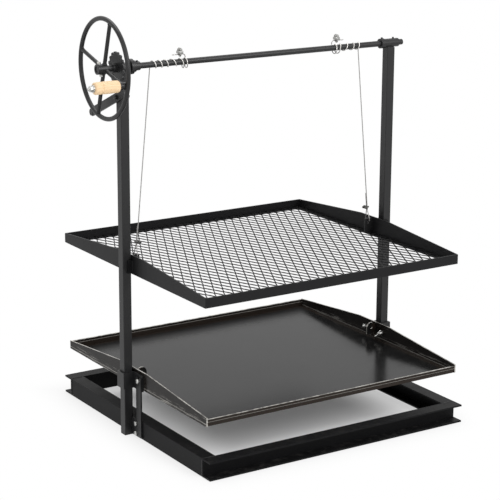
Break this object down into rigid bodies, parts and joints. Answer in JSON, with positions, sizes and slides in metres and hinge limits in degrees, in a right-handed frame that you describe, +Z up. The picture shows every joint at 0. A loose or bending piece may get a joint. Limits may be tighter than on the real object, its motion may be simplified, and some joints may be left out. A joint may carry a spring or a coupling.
{
  "type": "campfire grill grate",
  "caption": "Free-standing campfire grill whose mesh grate hangs on wires from a hand-cranked ratchet shaft between posts, above a lift-off fire tray on a channel base.",
  "frame": {"origin": "on the ground at the middle of the overall box", "axes": "+X along the lift shaft away from the handwheel, +Y from front to back, +Z up"},
  "size_m": [1.1892, 0.9, 1.273],
  "materials": {
    "black_steel": "satin black powder coat",
    "tray_steel": "oiled hot-rolled steel",
    "zinc_steel": "zinc plated",
    "wire_steel": "bright steel wire",
    "wood": "pale sanded wood"
  },
  "bodies": {
    "frame": {"front_channel": "black_steel", "rear_channel": "black_steel", "left_channel": "black_steel", "right_channel": "black_steel", "left_post": "black_steel", "right_post": "black_steel", "right_post_spacer": "black_steel", "left_stay": "black_steel", "right_stay": "black_steel", "left_stay_bolts": "zinc_steel", "right_stay_bolts": "zinc_steel", "left_bearing": "black_steel", "right_bearing": "black_steel", "pawl_bolt": "black_steel"},
    "shaft": {"lift_shaft": "black_steel", "handwheel": "black_steel", "hub_screw_upper": "zinc_steel", "hub_screw_lower": "zinc_steel", "ratchet_sprocket": "black_steel", "left_collar": "black_steel", "left_collar_screw": "black_steel", "right_collar": "black_steel", "right_collar_screw": "black_steel", "left_winding": "wire_steel", "right_winding": "wire_steel", "left_tail_clip": "zinc_steel", "right_tail_clip": "zinc_steel", "handle_bolt": "zinc_steel"},
    "handle": {"handle_grip": "wood"},
    "pawl": {"pawl_lever": "black_steel"},
    "grate": {"grate_left_side": "black_steel", "grate_right_side": "black_steel", "grate_front_bar": "black_steel", "grate_rear_bar": "black_steel", "grate_mesh": "black_steel", "left_front_guide": "black_steel", "left_rear_guide": "black_steel", "right_front_guide": "black_steel", "right_rear_guide": "black_steel", "left_lug": "black_steel", "right_lug": "black_steel", "left_wire_eye": "wire_steel", "right_wire_eye": "wire_steel", "left_eye_clip": "zinc_steel", "right_eye_clip": "zinc_steel", "left_wire": "wire_steel", "right_wire": "wire_steel"},
    "tray": {"tray_pan": "tray_steel", "tray_left_side": "tray_steel", "tray_right_side": "tray_steel", "left_strap": "black_steel", "right_strap": "black_steel", "left_tray_lug": "tray_steel", "right_tray_lug": "tray_steel", "left_front_bolt": "zinc_steel", "left_rear_bolt": "zinc_steel", "right_front_bolt": "zinc_steel", "right_rear_bolt": "zinc_steel"},
    "left_nut": {"left_wing_nut": "zinc_steel"},
    "right_nut": {"right_wing_nut": "zinc_steel"}
  },
  "joints": [
    {"name": "wheel_spin", "type": "hinge", "parent": "frame", "child": "shaft", "pos_m": [0.05555, 0.0115, 1.122], "axis": [1, 0, 0], "range_deg": [-900, 1620]},
    {"name": "handle_spin", "type": "hinge", "parent": "shaft", "child": "handle", "pos_m": [-0.53645, -0.1171, 1.09225], "axis": [1, 0, 0], "continuous": true},
    {"name": "pawl_swing", "type": "hinge", "parent": "frame", "child": "pawl", "pos_m": [-0.43345, 0.0115, 1.0365], "axis": [1, 0, 0], "range_deg": [-7.5, 20]},
    {"name": "grate_slide", "type": "slide", "parent": "frame", "child": "grate", "axis": [0, 0, 1], "range_m": [-0.17, 0.306], "deforming": ["left_wire", "right_wire"]},
    {"name": "tray_slide", "type": "slide", "parent": "frame", "child": "tray", "axis": [0, 0, 1], "range_m": [0, 0.1]},
    {"name": "left_nut_spin", "type": "hinge", "parent": "tray", "child": "left_nut", "pos_m": [-0.38545, -0.0455, 0.182], "axis": [1, 0, 0], "continuous": true},
    {"name": "right_nut_spin", "type": "hinge", "parent": "tray", "child": "right_nut", "pos_m": [0.49655, -0.0455, 0.182], "axis": [1, 0, 0], "continuous": true}
  ],
  "couplings": [
    {"joint": "grate_slide", "follows": "wheel_spin", "m_per_rad": 0.0108}
  ]
}
